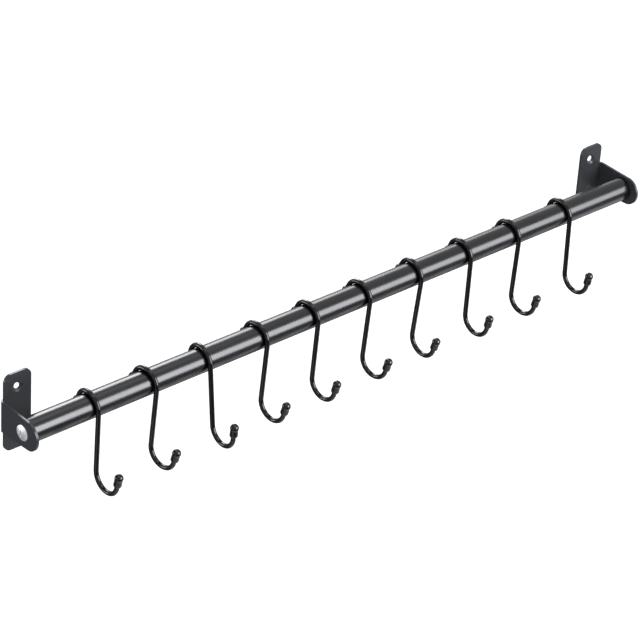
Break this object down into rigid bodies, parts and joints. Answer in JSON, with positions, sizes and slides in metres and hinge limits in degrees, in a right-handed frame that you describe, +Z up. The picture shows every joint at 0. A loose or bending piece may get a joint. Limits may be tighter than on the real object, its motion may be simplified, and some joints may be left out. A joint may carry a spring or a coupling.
{
  "type": "kitchen hanging rail",
  "caption": "Wall-mounted round hanging rail on two bent sheet brackets, with open wire hooks that slide along the bar.",
  "frame": {"origin": "on the wall plane, midway between the two brackets, level with the tube's axis; the centre of the four wall holes", "axes": "+X along the rail, from the left bracket to the right one; +Y into the wall; +Z up"},
  "size_m": [0.604, 0.0719, 0.0954],
  "materials": {
    "tube_black": "semi-gloss black powder coat on steel tube",
    "bracket_black": "satin black powder coat on steel sheet",
    "hook_black": "gloss black coat on steel wire",
    "cap_black": "moulded black plastic, polished",
    "screw_steel": "bright zinc or nickel plated steel",
    "plug_plastic": "moulded black nylon"
  },
  "bodies": {
    "rail": {"rail_tube": "tube_black", "left_bracket": "bracket_black", "right_bracket": "bracket_black", "left_plug": "plug_plastic", "right_plug": "plug_plastic", "left_screw": "screw_steel", "right_screw": "screw_steel"},
    "hook_01": {"hook_01": "hook_black", "hook_01_tip_cap": "cap_black", "hook_01_top_ball": "cap_black"},
    "hook_02": {"hook_02": "hook_black", "hook_02_tip_cap": "cap_black", "hook_02_top_ball": "cap_black"},
    "hook_03": {"hook_03": "hook_black", "hook_03_tip_cap": "cap_black", "hook_03_top_ball": "cap_black"},
    "hook_04": {"hook_04": "hook_black", "hook_04_tip_cap": "cap_black", "hook_04_top_ball": "cap_black"},
    "hook_05": {"hook_05": "hook_black", "hook_05_tip_cap": "cap_black", "hook_05_top_ball": "cap_black"},
    "hook_06": {"hook_06": "hook_black", "hook_06_tip_cap": "cap_black", "hook_06_top_ball": "cap_black"},
    "hook_07": {"hook_07": "hook_black", "hook_07_tip_cap": "cap_black", "hook_07_top_ball": "cap_black"},
    "hook_08": {"hook_08": "hook_black", "hook_08_tip_cap": "cap_black", "hook_08_top_ball": "cap_black"},
    "hook_09": {"hook_09": "hook_black", "hook_09_tip_cap": "cap_black", "hook_09_top_ball": "cap_black"},
    "hook_10": {"hook_10": "hook_black", "hook_10_tip_cap": "cap_black", "hook_10_top_ball": "cap_black"}
  },
  "joints": [
    {"name": "hook_01_slide", "type": "slide", "parent": "rail", "child": "hook_01", "axis": [1, 0, 0], "range_m": [-0.0515, 0.0213]},
    {"name": "hook_02_slide", "type": "slide", "parent": "rail", "child": "hook_02", "axis": [1, 0, 0], "range_m": [-0.0213, 0.0215]},
    {"name": "hook_03_slide", "type": "slide", "parent": "rail", "child": "hook_03", "axis": [1, 0, 0], "range_m": [-0.0215, 0.0226]},
    {"name": "hook_04_slide", "type": "slide", "parent": "rail", "child": "hook_04", "axis": [1, 0, 0], "range_m": [-0.0226, 0.0209]},
    {"name": "hook_05_slide", "type": "slide", "parent": "rail", "child": "hook_05", "axis": [1, 0, 0], "range_m": [-0.0209, 0.0219]},
    {"name": "hook_06_slide", "type": "slide", "parent": "rail", "child": "hook_06", "axis": [1, 0, 0], "range_m": [-0.0219, 0.0217]},
    {"name": "hook_07_slide", "type": "slide", "parent": "rail", "child": "hook_07", "axis": [1, 0, 0], "range_m": [-0.0217, 0.0223]},
    {"name": "hook_08_slide", "type": "slide", "parent": "rail", "child": "hook_08", "axis": [1, 0, 0], "range_m": [-0.0223, 0.0218]},
    {"name": "hook_09_slide", "type": "slide", "parent": "rail", "child": "hook_09", "axis": [1, 0, 0], "range_m": [-0.0218, 0.0243]},
    {"name": "hook_10_slide", "type": "slide", "parent": "rail", "child": "hook_10", "axis": [1, 0, 0], "range_m": [-0.0243, 0.0674]}
  ]
}
